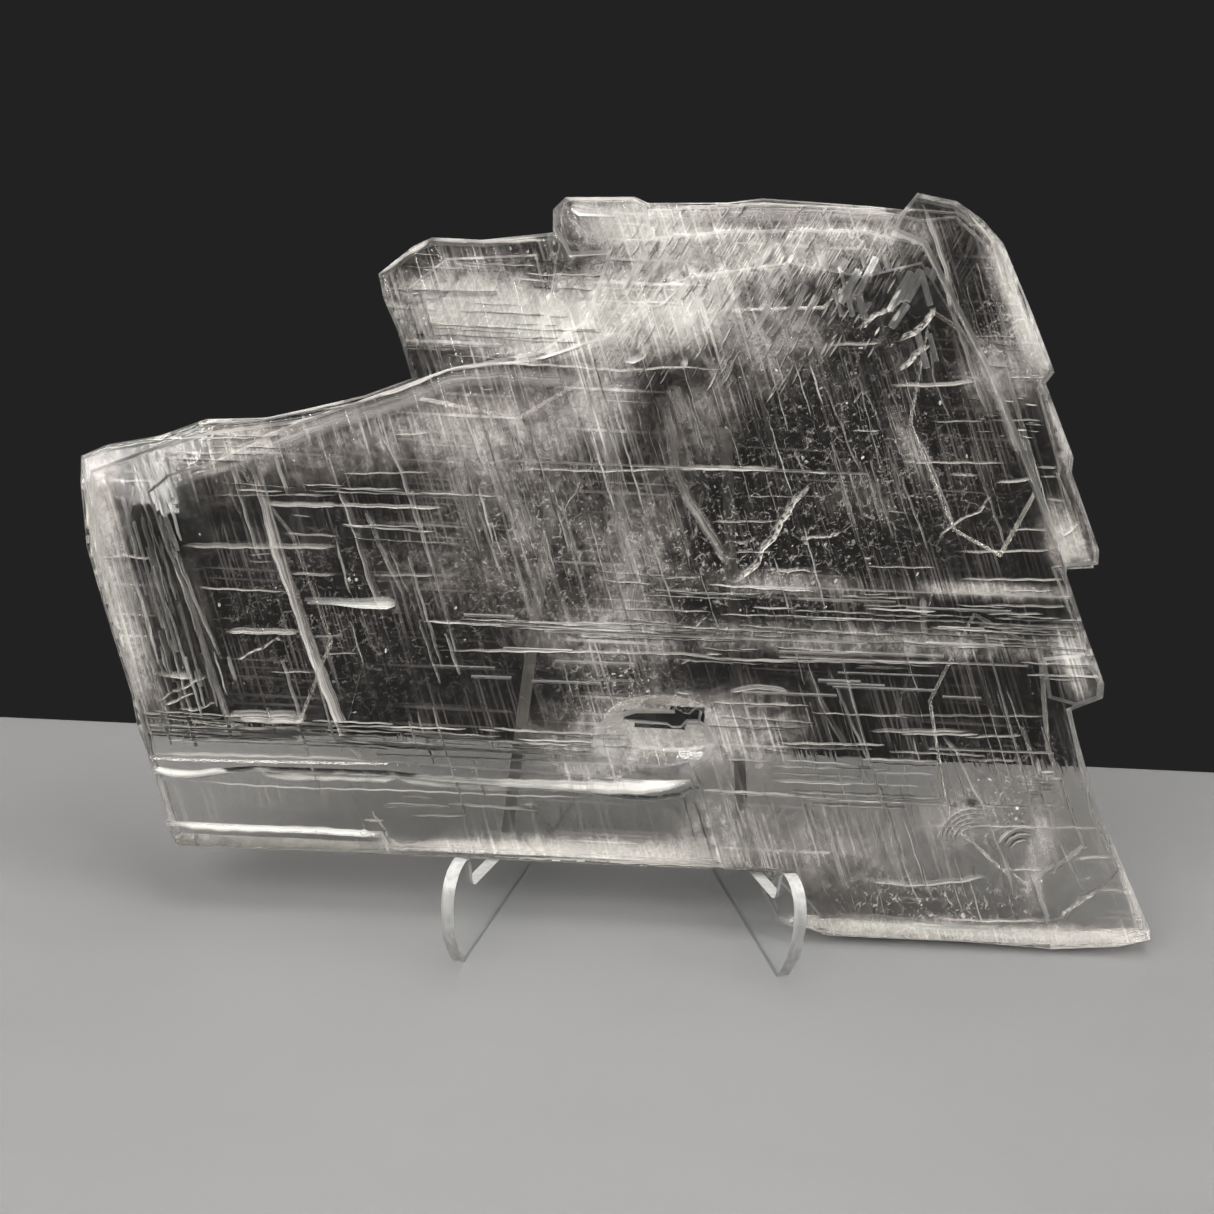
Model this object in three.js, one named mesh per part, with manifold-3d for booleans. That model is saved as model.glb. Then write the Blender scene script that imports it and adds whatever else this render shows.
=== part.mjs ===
// A large plate of clear selenite leaning on a clear easel bent from one sheet.
//
// Millimetres, +Z up. +X is the viewer's right and -Y points at the viewer.
// The origin is under the middle of the whole object, on the surface it stands on.
// The crystal is drawn flat in its own frame: x along its bottom edge, y up its face,
// z out of its front. Depths are measured back from its front face.

import * as THREE from 'three';
import { mergeVertices } from 'three/addons/utils/BufferGeometryUtils.js';
import Module from 'manifold-3d';

const wasm = await Module();
wasm.setup();

const { degToRad } = THREE.MathUtils;

// Easel: the sheet, how it stands and how the crystal sits in it
const sheetThickness = 3;
const feetApart = 73.2;
const wingAngle = degToRad(14.3);
const bendRadius = 10;
const spineHeight = 58;
const restHeight = 112;
const hookHeight = 26.6;
const hookReach = 8.6;
const ledgeFront = 8.9;
const ledgeHeight = 16.7;
const ledgeSlope = degToRad(7.3);
const lean = degToRad(20);
const gap = 0.3;

// Crystal: where its front bottom edge sits, and the depth of each storey of its plate
const crystalAcross = -1;
const crystalBack = 19.5;
const crystalLift = 15.65;
const frontPlateBack = 4;
const middlePlateFront = 2;
const bodyFront = 4.5;
const bodyBack = 13;
const restFaceDepth = 14.3;
const backTerraceDepth = 16.2;
const layers = 3;
const wornEdge = 0.5;
const floorClearance = 1;

// The two directions that this crystal splits along, seen on its face
const steepSplit = degToRad(108);
const levelSplit = degToRad(0.5);
const crossSplit = degToRad(61);

// Pseudo-random numbers, the same on every run
let seed = 7;
function random(low, high) {
  seed = (seed * 16807) % 2147483647;
  return low + (high - low) * (seed / 2147483647);
}

// Solids

function solidFrom(geometry) {
  const bare = geometry.index ? geometry.toNonIndexed() : geometry.clone();
  bare.deleteAttribute('normal');
  bare.deleteAttribute('uv');
  const merged = mergeVertices(bare, 1e-4);
  return new wasm.Manifold(new wasm.Mesh({
    numProp: 3,
    vertProperties: new Float32Array(merged.attributes.position.array),
    triVerts: new Uint32Array(merged.index.array),
  }));
}

function geometryFrom(solid) {
  const mesh = solid.getMesh();
  const geometry = new THREE.BufferGeometry();
  geometry.setAttribute('position', new THREE.BufferAttribute(mesh.vertProperties, 3));
  geometry.setIndex(new THREE.BufferAttribute(mesh.triVerts, 1));
  geometry.computeVertexNormals();
  return geometry;
}

function joined(solids) {
  return solids.reduce((whole, solid) => whole.add(solid));
}

function carved(solid, cuts) {
  return cuts.reduce((left, cut) => left.subtract(cut), solid);
}

// Crystal outlines, clockwise as seen from the front, in millimetres on its face

const silhouette = [
  [-105.9, -0.9], [-109.6, 2.6], [-110.8, 6.8], [-116.3, 22.2], [-119.4, 29.3], [-121.1, 36.7],
  [-128.8, 57.8], [-133.7, 72.3], [-135.9, 87.9], [-136, 94.4], [-129.8, 97.4], [-117.2, 100.1],
  [-106.1, 104.7], [-91.2, 105.8], [-82.1, 108.2], [-67.8, 112.2], [-56.8, 116.7], [-42, 121],
  [-28, 123.5], [-24.6, 138], [-23.4, 154.3], [-23.6, 159.8], [-20.7, 162.9], [-3.7, 163.8],
  [-0.5, 162.4], [19.1, 163.4], [27.5, 164.8], [53.8, 164.1], [66.1, 163.4], [74.8, 163.1],
  [83.4, 157.2], [88.6, 148.1], [96, 133.3], [99.2, 124.4], [97.3, 121.6], [104.9, 103.2],
  [104.6, 100.9], [109.2, 91.2], [112.2, 81.9], [112.3, 78.3], [104.3, 77.6], [109.6, 64],
  [115.3, 50.1], [115.2, 46.2], [108.2, 43.2], [111.3, 33.7], [116.4, 18.2], [123.1, 4.4],
  [128.8, -7.4], [129.2, -11], [121.2, -13.2], [105.6, -14.5], [84.6, -13.7], [51.3, -13.8],
  [41, -11.2], [37.2, -1], [31.3, 0.5], [0, 0.2], [-40.5, 0.4], [-82.7, -1.2],
];

const frontPlate = [
  [-95.8, 31.8], [-101, 45.1], [-106.5, 60.5], [-112.8, 72.3], [-118, 86], [-113.1, 90.5],
  [-103.2, 93.7], [-86, 102.7], [-67.7, 110.4], [-47.1, 118.9], [-25.4, 122.6], [-6.4, 129.7],
  [3.2, 141.3], [10.4, 144], [34, 148.5], [52, 146], [66, 150], [82.3, 125.6], [89, 111.4],
  [98.4, 90.1], [103, 80], [108.3, 64.5], [112.2, 51], [107, 43.4], [109.8, 33], [115, 17.6],
  [120.4, 5.6], [116.5, 1.2], [111, -1.4], [108.2, -6.6], [98, -8.6], [80, -9.8], [62, -8.2],
  [49, -9.4], [43.2, -3.2], [38.4, 1.4], [25, 1.6], [18, 22], [15, 27.5], [-30, 27], [-70, 28],
  [-72, 31.5],
];

const middlePlate = [
  [-114.5, 18.8], [-117.4, 30.5], [-125.5, 55], [-130.2, 71.5], [-132.6, 90.6], [-118, 96.8],
  [-104, 101.4], [-82, 105.4], [-66, 110], [-46, 119.6], [-25, 124.5], [-14, 133], [-9, 152],
  [20, 156], [50, 157.5], [78, 153], [92, 128], [106, 88], [104, 70], [106, 42], [112, 20],
  [110, 4], [70, 2.6], [27, 2.6], [20.4, 20.5], [7, 18.6], [-0.3, 18.8], [-16.1, 20.3],
  [-44.3, 21], [-57.5, 21.9], [-90, 21.6], [-96.8, 20.7], [-107.2, 18.6],
];

// The bright rounded lip of the terrace, and the lips along the bottom
const terraceLip = [
  [-114.2, 18.2], [-115.4, 22.6], [-96, 23], [-57, 24], [-16, 23], [8, 22], [16, 22.8],
  [17.6, 20.4], [14.2, 18.2], [7, 16.9], [-0.3, 17.1], [-16.1, 18.6], [-44.3, 19.4],
  [-57.5, 20.2], [-90, 19.8], [-96.8, 18.9], [-107.2, 17],
];

const bottomBar = [
  [-107, -0.6], [-111, 6.6], [-58, 6.4], [-55, 1],
];

const bottomLip = [
  [-98, -1.1], [-103.5, 2.4], [-82, 2.3], [-40, 3.4], [0, 3.2], [36, 3], [37, -0.8], [31.3, 0.5],
  [0, 0.2], [-40.5, 0.4], [-82.7, -1.2],
];

const lobeLip = [
  [42, -11], [45, -8.6], [60, -9.6], [84, -10.4], [104, -10.6], [122, -8.4], [128.6, -8.2],
  [129, -11], [121.2, -13.1], [105.6, -14.4], [84.6, -13.6], [51.3, -13.6],
];

const topLeftLobe = [
  [-54.5, 112], [-60.2, 128.3], [-64, 136], [-65.6, 142.2], [-57.4, 149.4], [-52.9, 151.7],
  [-40.4, 151.7], [-23.4, 154.3], [-12, 150], [-8, 122], [-30, 108],
];

const topLeftLeaf = [
  [-50, 118], [-58, 139], [-49, 146.5], [-27, 148.5], [-20, 124],
];

const whiteBlock = [
  [-19, 148], [-23.2, 154.6], [-22.9, 159.4], [-20.4, 162], [-4.1, 162.8], [-1, 161.2], [2, 150],
];

const rightTopSlab = [
  [58.5, 157], [61.3, 162.6], [64, 166.2], [73.6, 164.6], [79.8, 160.6], [85.2, 155], [93.2, 137.9],
  [98.9, 124.6], [96.9, 121.8], [104.4, 104.3], [104.1, 100.8], [111.6, 82.2], [111.4, 78.9],
  [104.4, 78.2], [98.4, 90.1], [89, 111.4], [82.3, 125.6], [66.1, 154],
];

const rightSideBand = [
  [77.5, 154], [85.2, 151.5], [97.4, 124.2], [95, 121.6], [103.2, 101.2], [110.2, 82], [105, 80.4],
  [92, 112],
];

const rightMiddleSlab = [
  [92, 76], [104.2, 77], [109.1, 64], [114.8, 50.2], [114.6, 46.8], [107.8, 43.8], [96, 46],
];

const rightTongue = [
  [99, 56], [109, 57.5], [114, 50.4], [114.2, 47.2], [108, 44.6], [101, 46.2],
];

const lobe = [
  [40, 10], [70, 22], [113, 24], [119, 11.8], [128.2, -7.4], [128.6, -10.6], [121.2, -12.8],
  [105.6, -14], [84.6, -13.2], [51.3, -13.4], [41.2, -11], [37, -4],
];

const restFace = [
  [-62, 3.5], [-70, 24], [-64, 52], [-77, 84], [-60, 106], [-34, 118], [8, 131], [46, 134],
  [58, 108], [74, 72], [66, 40], [72, 12], [50, 3.5],
];

const backTerraces = [
  [[-113, 31], [-126, 72], [-124, 88], [-98, 94], [-84, 78], [-73, 52], [-81, 28]],
  [[66, 112], [70, 140], [88, 130], [99, 98], [90, 80], [78, 86]],
  [[80, 14], [74, 44], [84, 66], [101, 58], [104, 34], [114, 10], [100, -2]],
  [[-36, 124], [-18, 150], [30, 156], [52, 148], [44, 139], [4, 136]],
];

const slot = [
  [-1.2, 36.1], [-0.6, 37], [2.1, 38], [11.5, 38.4], [11.4, 39.8], [13.6, 38.6], [15.1, 38.4],
  [16.4, 39.8], [18, 39.2], [17.7, 36.7], [14.7, 36.6], [13.4, 35], [11.3, 34.9], [10, 35.7],
];

// Solids of the crystal, drawn in its own frame

function outlineShape(points) {
  return new THREE.Shape(points.map(([x, y]) => new THREE.Vector2(x, y)));
}

// A flat slab between two depths, its edges worn by a small bevel
function slab(points, front, back, worn = wornEdge, rounding = 1) {
  const geometry = new THREE.ExtrudeGeometry(outlineShape(points), {
    depth: back - front - 2 * worn,
    bevelEnabled: worn > 0,
    bevelThickness: worn,
    bevelSize: worn,
    bevelOffset: -worn,
    bevelSegments: rounding,
  });
  geometry.translate(0, 0, -back + worn);
  return solidFrom(geometry);
}

// The same outline, each corner drawn in by its own small distance
function ragged(points, low, high) {
  return points.map(([x, y], i) => {
    const [x0, y0] = points[(i + points.length - 1) % points.length];
    const [x1, y1] = points[(i + 1) % points.length];
    const length = Math.hypot(x1 - x0, y1 - y0);
    const step = random(low, high);
    return [x + step * (y1 - y0) / length, y - step * (x1 - x0) / length];
  });
}

// A bar with a square section set on edge, for grooves and for raised splinters
function splinter(x, y, direction, length, width, depth) {
  const bar = new THREE.BoxGeometry(length, width, width);
  bar.rotateX(degToRad(45));
  bar.rotateZ(direction);
  bar.translate(x, y, -depth);
  return solidFrom(bar);
}

// A shell-shaped break: rings that step down to the middle
function shellBreak(x, y, radius, deep, front) {
  const rings = 4;
  const profile = [new THREE.Vector2(0, -deep)];
  for (let ring = 1; ring <= rings; ring += 1) {
    const out = ring / rings;
    profile.push(new THREE.Vector2(radius * (out - 0.08), -deep * (1 - out * out) - 0.12 * deep));
    profile.push(new THREE.Vector2(radius * out, -deep * (1 - out * out)));
  }
  profile.push(new THREE.Vector2(radius, deep), new THREE.Vector2(0, deep));
  const geometry = new THREE.LatheGeometry(profile, 20);
  geometry.rotateX(Math.PI / 2);
  geometry.translate(x, y, -front);
  return solidFrom(geometry);
}

// A wedge that takes away what lies under a sloping line running back from the front
function undercut(fromX, toX, atFront, slope) {
  const deep = 60;
  const section = outlineShape([
    [-deep, atFront - deep], [-deep, atFront - deep * Math.tan(slope)],
    [deep, atFront + deep * Math.tan(slope)], [deep, atFront - deep],
  ]);
  const geometry = new THREE.ExtrudeGeometry(section, { depth: toX - fromX, bevelEnabled: false });
  geometry.rotateY(Math.PI / 2);
  geometry.translate(fromX, 0, 0);
  return solidFrom(geometry);
}

// The body is a pile of thin layers whose ragged ends stand in steps at the rim
function layeredBody() {
  const thick = (bodyBack - bodyFront) / layers;
  const pile = [];
  for (let layer = 0; layer < layers; layer += 1) {
    const front = bodyFront + layer * thick;
    const outline = layer === 1 ? silhouette : ragged(silhouette, 0.2, 2.2);
    pile.push(slab(outline, front - (layer ? 0.4 : 0), front + thick, 0.4));
  }
  return joined(pile);
}

function storeys() {
  const frontStoreys = [
    slab(middlePlate, middlePlateFront, bodyFront + 1, 0.9),
    slab(frontPlate, 0, frontPlateBack, 0.7),
    slab(terraceLip, 1.2, bodyFront + 1.4, 1.3, 3),
    slab(bottomBar, 3, bodyBack - 2, 1.4, 2),
    slab(bottomLip, 3.4, bodyBack - 1, 1, 2),
    slab(lobeLip, 1.2, 10.5, 1, 2),
    slab(topLeftLobe, 7, 15.4, 1),
    slab(topLeftLeaf, 5.6, 9, 0.6),
    slab(whiteBlock, 2.4, 9, 0.8),
    slab(rightTopSlab, -1.6, 8, 0.8),
    slab(rightSideBand, -0.4, 10, 1),
    slab(rightMiddleSlab, 0.6, 9, 0.8),
    slab(rightTongue, -0.8, 6, 0.9),
    slab(lobe, 2, 11.5, 0.7),
  ];
  const backStoreys = [
    slab(restFace, bodyBack - 1, restFaceDepth, 0),
    ...backTerraces.map((outline) => slab(outline, bodyBack - 1, backTerraceDepth, 0.8)),
  ];
  return [...frontStoreys, ...backStoreys];
}

// Long splits that show as fine open lines on the front: x, y of the middle and the length
function splits() {
  const level = [
    [11, 97.8, 89], [66, 70.4, 78], [18, 57.2, 78], [-68, 61.1, 20], [-84, 26.5, 46],
    [-30, 25.4, 60], [66, 53.6, 60], [88, 33, 30], [70, 19.6, 54],
  ].map(([x, y, length]) => splinter(x, y, levelSplit, length, 0.42, x < 14 && y < 27 ? 2 : 0));
  const steep = [
    [-81, 62, 66], [-30, 78, 36], [60, 26, 58], [92, 40, 44], [-48, 70, 40],
  ].map(([x, y, length]) => splinter(x, y, steepSplit, length, 0.4, 0));
  return [...level, ...steep];
}

// Fine steep ribs on the left rim, where the ends of the layers lie open
function rimRibs() {
  const ribs = [];
  for (let rib = 0; rib < 9; rib += 1) {
    const along = random(34, 78);
    const across = -121.5 + rib * 1.9 - (along - 50) * 0.32;
    ribs.push(splinter(across, along, steepSplit, random(14, 34), random(0.4, 0.8), middlePlateFront));
  }
  return ribs;
}

// The torn top, where short blades stand up in two directions
function tornTop() {
  const blades = [];
  for (let blade = 0; blade < 42; blade += 1) {
    const x = random(-6, 70);
    const y = random(132, 151) - Math.abs(x - 36) * 0.12;
    const direction = blade % 3 ? crossSplit + random(-0.1, 0.1) : steepSplit;
    const surface = y > 146 || x < 4 ? middlePlateFront : 0;
    blades.push(splinter(x, y, direction, random(4, 11), random(0.6, 1.5), surface));
  }
  return blades;
}

// Short level blades left standing along the band above the slot
function levelBlades() {
  const blades = [];
  for (let blade = 0; blade < 20; blade += 1) {
    const x = random(-40, 86);
    const y = random(44, 70);
    blades.push(splinter(x, y, levelSplit, random(8, 26), random(0.35, 0.7), 0));
  }
  return blades;
}

function slotCuts() {
  const through = slab(slot, -5, 25, 0);
  const dish = new THREE.SphereGeometry(1, 22, 12);
  dish.scale(15, 8, 3.4);
  dish.translate(7, 31.5, 0);
  const backDish = dish.clone();
  backDish.translate(2, 3, -restFaceDepth);
  return [through, solidFrom(dish), solidFrom(backDish)];
}

function crystalGeometry() {
  const raised = joined([layeredBody(), ...storeys(), ...tornTop(), ...levelBlades()]);
  const cuts = [
    ...splits(),
    ...rimRibs(),
    ...slotCuts(),
    shellBreak(82.6, 13.4, 8, 1.1, 0),
    shellBreak(98.4, 6, 6, 0.9, 0),
    undercut(-140, 36, 0.2, lean - ledgeSlope),
    undercut(36, 140, -(crystalLift - floorClearance) / Math.cos(lean), lean),
  ];
  const whole = carved(raised, cuts);
  return geometryFrom(whole);
}

// Easel, one sheet bent into a V about an upright spine behind the crystal

// Height of the ledge at a distance back along a wing
function ledgeAt(back) {
  return ledgeHeight - (back - ledgeFront) * Math.tan(ledgeSlope);
}

// The crystal's back face as a line up the wing: distance back at a height
function restLineAt(height) {
  const deep = restFaceDepth + gap;
  const upFace = (height - crystalLift + deep * Math.sin(lean)) / Math.cos(lean);
  const behind = crystalBack + deep * Math.cos(lean) + upFace * Math.sin(lean);
  return behind / Math.cos(wingAngle);
}

const spineCentre = (feetApart / 2 - bendRadius / Math.cos(wingAngle)) / Math.tan(wingAngle);
const wingLength = (spineCentre + bendRadius * Math.sin(wingAngle)) / Math.cos(wingAngle);

// One wing's outline: distance back from the foot, then height
function wingShape() {
  const ledgeBack = restLineAt(ledgeAt(32));
  const restTop = restLineAt(restHeight);
  const shape = new THREE.Shape();
  shape.moveTo(0, 0);
  shape.splineThru([
    new THREE.Vector2(-4.2, 5.5),
    new THREE.Vector2(-6.9, 10.5),
    new THREE.Vector2(-hookReach, 17.5),
    new THREE.Vector2(-7.8, 22.6),
    new THREE.Vector2(-5, hookHeight - 1),
    new THREE.Vector2(-1.2, hookHeight),
  ]);
  shape.quadraticCurveTo(3.4, hookHeight + 0.2, 4, hookHeight - 4.4);
  shape.lineTo(4.4, ledgeAt(4.4) + 3.4);
  shape.quadraticCurveTo(4.8, ledgeAt(ledgeFront), ledgeFront, ledgeAt(ledgeFront));
  shape.lineTo(ledgeBack - 1.5, ledgeAt(ledgeBack - 1.5));
  shape.quadraticCurveTo(ledgeBack + 0.5, ledgeAt(ledgeBack), restLineAt(ledgeHeight), ledgeHeight);
  shape.lineTo(restLineAt(restHeight - 4), restHeight - 4);
  shape.quadraticCurveTo(restTop + 0.4, restHeight + 1.4, restTop + 5, restHeight - 0.6);
  shape.quadraticCurveTo(restTop + 14, spineHeight + 22, wingLength, spineHeight);
  shape.lineTo(wingLength, 0);
  shape.closePath();
  return shape;
}

// A wing stands on its edge, its inner face through the foot, turned in towards the spine
function wing(side) {
  const geometry = new THREE.ExtrudeGeometry(wingShape(), {
    depth: sheetThickness,
    bevelEnabled: false,
    curveSegments: 5,
  });
  geometry.rotateX(Math.PI / 2);
  geometry.rotateZ(Math.PI / 2);
  if (side < 0) geometry.translate(-sheetThickness, 0, 0);
  geometry.rotateZ(side * wingAngle);
  geometry.translate(side * feetApart / 2, 0, 0);
  return solidFrom(geometry);
}

function spine() {
  const outer = bendRadius + sheetThickness;
  const section = new THREE.Shape();
  section.absarc(0, 0, outer, wingAngle, Math.PI - wingAngle, false);
  section.absarc(0, 0, bendRadius, Math.PI - wingAngle, wingAngle, true);
  const geometry = new THREE.ExtrudeGeometry(section, {
    depth: spineHeight,
    bevelEnabled: false,
    curveSegments: 14,
  });
  geometry.translate(0, spineCentre, 0);
  return solidFrom(geometry);
}

function easelGeometry() {
  return geometryFrom(joined([wing(1), wing(-1), spine()]));
}

// Materials

const selenite = new THREE.MeshStandardMaterial({
  name: 'selenite',
  color: 0xdcdcd6,
  roughness: 0.12,
  metalness: 0,
  transparent: true,
  opacity: 0.55,
});

const clearSheet = new THREE.MeshStandardMaterial({
  name: 'clear_sheet',
  color: 0xe6ebea,
  roughness: 0.05,
  metalness: 0,
  transparent: true,
  opacity: 0.35,
});

// Assembly

const crystal = new THREE.Mesh(crystalGeometry(), selenite);
crystal.name = 'selenite_crystal';
crystal.rotation.x = Math.PI / 2 - lean;
crystal.position.set(crystalAcross, crystalBack, crystalLift);

const easel = new THREE.Mesh(easelGeometry(), clearSheet);
easel.name = 'easel';

const seleniteOnStand = new THREE.Group();
seleniteOnStand.add(crystal, easel);

// The origin goes under the middle of the whole object
seleniteOnStand.updateMatrixWorld(true);
const box = new THREE.Box3().setFromObject(seleniteOnStand, true);
const middle = box.getCenter(new THREE.Vector3());
seleniteOnStand.position.set(-middle.x, -middle.y, -box.min.z);
seleniteOnStand.updateMatrixWorld(true);

export default seleniteOnStand;
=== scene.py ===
"""A clear selenite plate, veiled and split inside, on a clear easel bent from one sheet.

Metres, in the model's own frame. The crystal is drawn on its own face, as it is in the
part's source: millimetres across its bottom edge, up its face, and back from its front.
"""

import math
import random

import bmesh
import bpy
import numpy
from mathutils import Matrix, Vector
from mathutils.bvhtree import BVHTree


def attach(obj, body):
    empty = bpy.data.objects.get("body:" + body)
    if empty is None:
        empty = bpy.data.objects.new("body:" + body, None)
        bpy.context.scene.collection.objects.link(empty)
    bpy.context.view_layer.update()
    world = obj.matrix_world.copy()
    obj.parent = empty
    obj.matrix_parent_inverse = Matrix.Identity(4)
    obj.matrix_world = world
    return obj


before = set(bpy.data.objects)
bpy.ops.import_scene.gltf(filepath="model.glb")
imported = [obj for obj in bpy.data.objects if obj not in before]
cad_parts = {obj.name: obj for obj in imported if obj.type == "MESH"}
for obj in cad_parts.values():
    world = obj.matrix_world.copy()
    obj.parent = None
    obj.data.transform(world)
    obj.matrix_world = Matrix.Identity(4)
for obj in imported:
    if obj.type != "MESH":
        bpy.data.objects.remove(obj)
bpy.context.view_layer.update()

MM = 0.001
LEAN = math.radians(20)
SEAT = Vector((3.4, -34.37, 15.65)) * MM
STEEP = math.radians(109)
LEVEL = math.radians(-0.3)
CROSS = math.radians(63)
CRYSTAL_IOR = 1.52
SHEET_IOR = 1.49
WING_TURN = math.radians(14.27)

# A veil or split stops this far under the crystal's surface
SKIN = 0.4

# Neither lies where the crystal is thinner than this
THINNEST_FOR_SPLIT = 2 * SKIN + 0.4
THINNEST_FOR_VEIL = 2

# Rays that look for the crystal's surfaces start this far before its face and behind it
BEFORE_FACE = 20
BEHIND_FACE = 40

chance = random.Random(11)

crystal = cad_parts["selenite_crystal"]
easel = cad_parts["easel"]

# Places on the crystal

FACE_RISE = math.pi / 2 - LEAN
FACE_TO_FRAME = Matrix.Translation(SEAT) @ Matrix.Rotation(FACE_RISE, 4, "X") @ Matrix.Scale(MM, 4)


def on_face(across, up, depth):
    """A point in the frame, given in millimetres on the crystal's face."""
    return FACE_TO_FRAME @ Vector((across, up, -depth))


def surface_reader(ob):
    """The crystal's solid, ready to be asked where its surfaces are."""
    mesh = ob.data
    points = [v.co.copy() for v in mesh.vertices]
    faces = [tuple(p.vertices) for p in mesh.polygons]
    return BVHTree.FromPolygons(points, faces)


SURFACE = surface_reader(crystal)
INTO = (on_face(0, 0, 1) - on_face(0, 0, 0)).normalized()


def depths_at(across, up):
    """Depth of the front and the back surface at a place on the face, or None outside."""
    front = SURFACE.ray_cast(on_face(across, up, -BEFORE_FACE), INTO)
    if front[0] is None:
        return None
    back = SURFACE.ray_cast(on_face(across, up, BEHIND_FACE), -INTO)
    if back[0] is None:
        return None
    return front[3] / MM - BEFORE_FACE, BEHIND_FACE - back[3] / MM


# Making pieces


def finish_piece(name, mesh, material):
    """A mesh becomes a piece inside the crystal that rides with the object."""
    ob = bpy.data.objects.new(name, mesh)
    bpy.context.scene.collection.objects.link(ob)
    mesh.materials.append(material)
    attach(ob, "root")


def mesh_from(name, bm, smooth=True):
    """The finished mesh of a bmesh, which is freed."""
    mesh = bpy.data.meshes.new(name)
    bm.to_mesh(mesh)
    bm.free()
    for polygon in mesh.polygons:
        polygon.use_smooth = smooth
    return mesh


# Nodes


def feed(tree, socket, value):
    """A socket takes a link from another node, or a constant."""
    if isinstance(value, bpy.types.NodeSocket):
        tree.links.new(value, socket)
    else:
        socket.default_value = value


def add_node(tree, kind, settings=None, **inputs):
    """One shader node, its inputs set or linked by name."""
    node = tree.nodes.new(kind)
    for name, value in (settings or {}).items():
        setattr(node, name, value)
    for name, value in inputs.items():
        feed(tree, node.inputs[name.replace("_", " ")], value)
    return node


def maths(tree, operation, first, second=0.0, clamp=False):
    node = add_node(tree, "ShaderNodeMath", {"operation": operation, "use_clamp": clamp})
    feed(tree, node.inputs[0], first)
    feed(tree, node.inputs[1], second)
    return node.outputs[0]


def vector_maths(tree, operation, *vectors):
    node = add_node(tree, "ShaderNodeVectorMath", {"operation": operation})
    for socket, vector in zip(node.inputs, vectors):
        feed(tree, socket, vector)
    return node.outputs


def ramp(tree, value, low, high, to_low=0.0, to_high=1.0):
    """A value between low and high, carried over to another range and kept inside it."""
    ends = {"From_Min": low, "From_Max": high, "To_Min": to_low, "To_Max": to_high}
    return add_node(tree, "ShaderNodeMapRange", {"clamp": True}, Value=value, **ends).outputs["Result"]


# A Mix node's colour sockets, which share their names with its sockets of other kinds
FIRST_COLOUR = 6
SECOND_COLOUR = 7
BLENDED_COLOUR = 2


def blend_colours(tree, share, first, second):
    node = add_node(tree, "ShaderNodeMix", {"data_type": "RGBA"}, Factor=share)
    node.inputs[FIRST_COLOUR].default_value = first
    node.inputs[SECOND_COLOUR].default_value = second
    return node.outputs[BLENDED_COLOUR]


def attribute(tree, name):
    """What a piece's own mesh says at each point."""
    return add_node(tree, "ShaderNodeAttribute", {"attribute_name": name}).outputs


def flat_noise(tree, place, scale, detail, roughness=0.5, distortion=0.0):
    settings = {"noise_dimensions": "2D"}
    values = {"Scale": scale, "Detail": detail, "Roughness": roughness, "Distortion": distortion}
    return add_node(tree, "ShaderNodeTexNoise", settings, Vector=place, **values).outputs["Fac"]


def turned(tree, place, angle):
    """A place on the face, turned about the face's own normal."""
    settings = {"rotation_type": "Z_AXIS"}
    return add_node(tree, "ShaderNodeVectorRotate", settings, Vector=place, Angle=angle).outputs[0]


def new_group(name, inputs, outputs):
    """An empty node group with named sockets: (name, type, value) in, (name, type) out."""
    group = bpy.data.node_groups.new(name, "ShaderNodeTree")
    for socket_name, kind, value in inputs:
        socket = group.interface.new_socket(socket_name, in_out="INPUT", socket_type=kind)
        if value is not None:
            socket.default_value = value
    for socket_name, kind in outputs:
        group.interface.new_socket(socket_name, in_out="OUTPUT", socket_type=kind)
    start = group.nodes.new("NodeGroupInput")
    end = group.nodes.new("NodeGroupOutput")
    return group, start, end


def use_group(tree, group, **inputs):
    """The one output of a node group placed in a tree."""
    return add_node(tree, "ShaderNodeGroup", {"node_tree": group}, **inputs).outputs[0]


def face_place_group():
    """Millimetres on the crystal's face, from its own object coordinates."""
    group, _, end = new_group("face place", [], [("Place", "NodeSocketVector")])
    coordinates = group.nodes.new("ShaderNodeTexCoord")
    mapping = add_node(
        group,
        "ShaderNodeMapping",
        {"vector_type": "TEXTURE"},
        Vector=coordinates.outputs["Object"],
        Location=SEAT,
        Rotation=(FACE_RISE, 0, 0),
        Scale=(MM, MM, MM),
    )
    group.links.new(mapping.outputs[0], end.inputs["Place"])
    return group


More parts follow.
